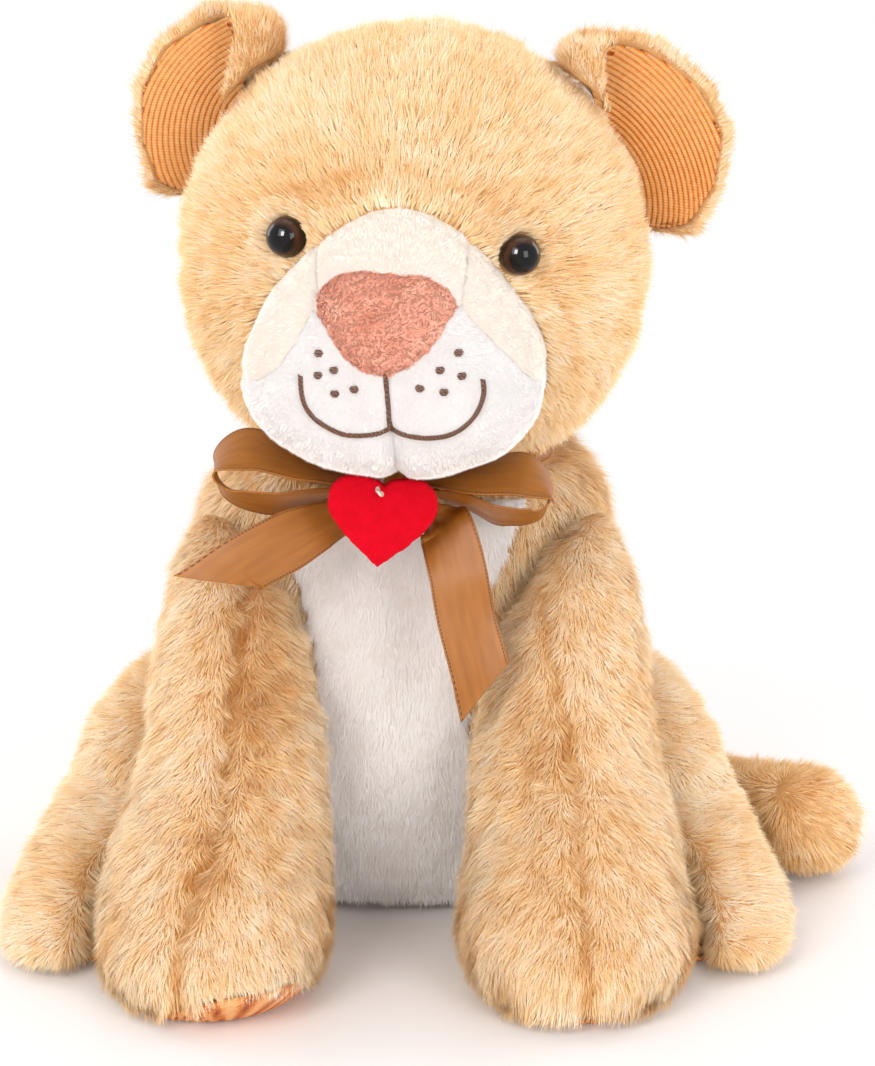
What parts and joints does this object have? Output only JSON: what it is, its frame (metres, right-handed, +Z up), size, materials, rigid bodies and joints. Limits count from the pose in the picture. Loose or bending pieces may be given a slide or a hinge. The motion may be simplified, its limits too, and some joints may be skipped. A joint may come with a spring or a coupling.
{
  "type": "plush toy lion",
  "caption": "Sitting stuffed lion cub with a white muzzle and chest, corduroy ear linings and soles, a tied satin ribbon and a felt heart tag.",
  "frame": {"origin": "on the floor, in the middle of the seat's flat underside", "axes": "+Z up, -Y the way the lion looks, +X the lion's own left"},
  "size_m": [0.2697, 0.209, 0.272],
  "materials": {
    "fur": "soft pile, about 9 mm long",
    "bib": "soft pile, about 6 mm long",
    "muzzle_cream": "short smooth pile",
    "muzzle_white": "short smooth pile",
    "nose": "curly short pile",
    "corduroy": "ribbed, matte",
    "eye": "clear gloss",
    "washer": "moulded",
    "ribbon": "satin",
    "felt": "matte felt",
    "string": "twisted cotton"
  },
  "bodies": {
    "torso": {"body": "fur", "chest_bib": "bib", "ribbon_knot": "ribbon", "ribbon_collar": "ribbon", "ribbon_loop_left": "ribbon", "ribbon_loop_right": "ribbon", "ribbon_tail_left": "ribbon", "ribbon_tail_right": "ribbon"},
    "head": {"head": "fur", "muzzle_bridge": "muzzle_cream", "muzzle_cheek_left": "muzzle_cream", "muzzle_cheek_right": "muzzle_cream", "muzzle_lip_left": "muzzle_white", "muzzle_lip_right": "muzzle_white", "nose": "nose", "eye_left": "eye", "eye_right": "eye", "eye_washer_left": "washer", "eye_washer_right": "washer"},
    "ear_left": {"ear_left": "fur", "ear_lining_left": "corduroy"},
    "ear_right": {"ear_right": "fur", "ear_lining_right": "corduroy"},
    "front_leg_left": {"front_leg_left": "fur", "front_sole_left": "corduroy"},
    "front_leg_right": {"front_leg_right": "fur", "front_sole_right": "corduroy"},
    "hind_leg_left": {"hind_leg_left": "fur", "hind_sole_left": "corduroy"},
    "hind_leg_right": {"hind_leg_right": "fur", "hind_sole_right": "corduroy"},
    "tail": {"tail": "fur"},
    "tag": {"heart_tag": "felt", "tag_string": "string"}
  },
  "joints": [
    {"name": "head_nod", "type": "hinge", "parent": "torso", "child": "head", "pos_m": [0.003, 0.033, 0.14], "axis": [-1, 0, 0], "range_deg": [0, 10], "stiffness_Nm_per_rad": 0.6},
    {"name": "ear_left_flex", "type": "hinge", "parent": "head", "child": "ear_left", "pos_m": [0.07807, 0.00399, 0.2034], "axis": [-0.3229, 0.0226, 0.9462], "range_deg": [-8, 8], "stiffness_Nm_per_rad": 0.05},
    {"name": "ear_right_flex", "type": "hinge", "parent": "head", "child": "ear_right", "pos_m": [-0.06339, 0.01389, 0.21257], "axis": [0.3847, -0.0269, 0.9226], "range_deg": [-8, 8], "stiffness_Nm_per_rad": 0.05},
    {"name": "front_leg_left_lift", "type": "hinge", "parent": "torso", "child": "front_leg_left", "pos_m": [0.05, -0.03, 0.116], "axis": [-1, 0, 0], "range_deg": [0, 10], "stiffness_Nm_per_rad": 0.3},
    {"name": "front_leg_right_lift", "type": "hinge", "parent": "torso", "child": "front_leg_right", "pos_m": [-0.05, -0.03, 0.116], "axis": [-1, 0, 0], "range_deg": [0, 10], "stiffness_Nm_per_rad": 0.3},
    {"name": "hind_leg_left_lift", "type": "hinge", "parent": "torso", "child": "hind_leg_left", "pos_m": [0.075, 0.018, 0.044], "axis": [-1, 0, 0], "range_deg": [0, 10], "stiffness_Nm_per_rad": 0.3},
    {"name": "hind_leg_right_lift", "type": "hinge", "parent": "torso", "child": "hind_leg_right", "pos_m": [-0.075, 0.018, 0.044], "axis": [-1, 0, 0], "range_deg": [0, 10], "stiffness_Nm_per_rad": 0.3},
    {"name": "tail_swing", "type": "hinge", "parent": "torso", "child": "tail", "pos_m": [0.01, 0.048, 0.02], "axis": [0, 0, 1], "range_deg": [0, 30], "stiffness_Nm_per_rad": 0.05},
    {"name": "tag_swing", "type": "hinge", "parent": "torso", "child": "tag", "pos_m": [-0.0018, -0.062, 0.1436], "axis": [-1, 0, 0], "range_deg": [0, 4], "stiffness_Nm_per_rad": 0.002}
  ]
}
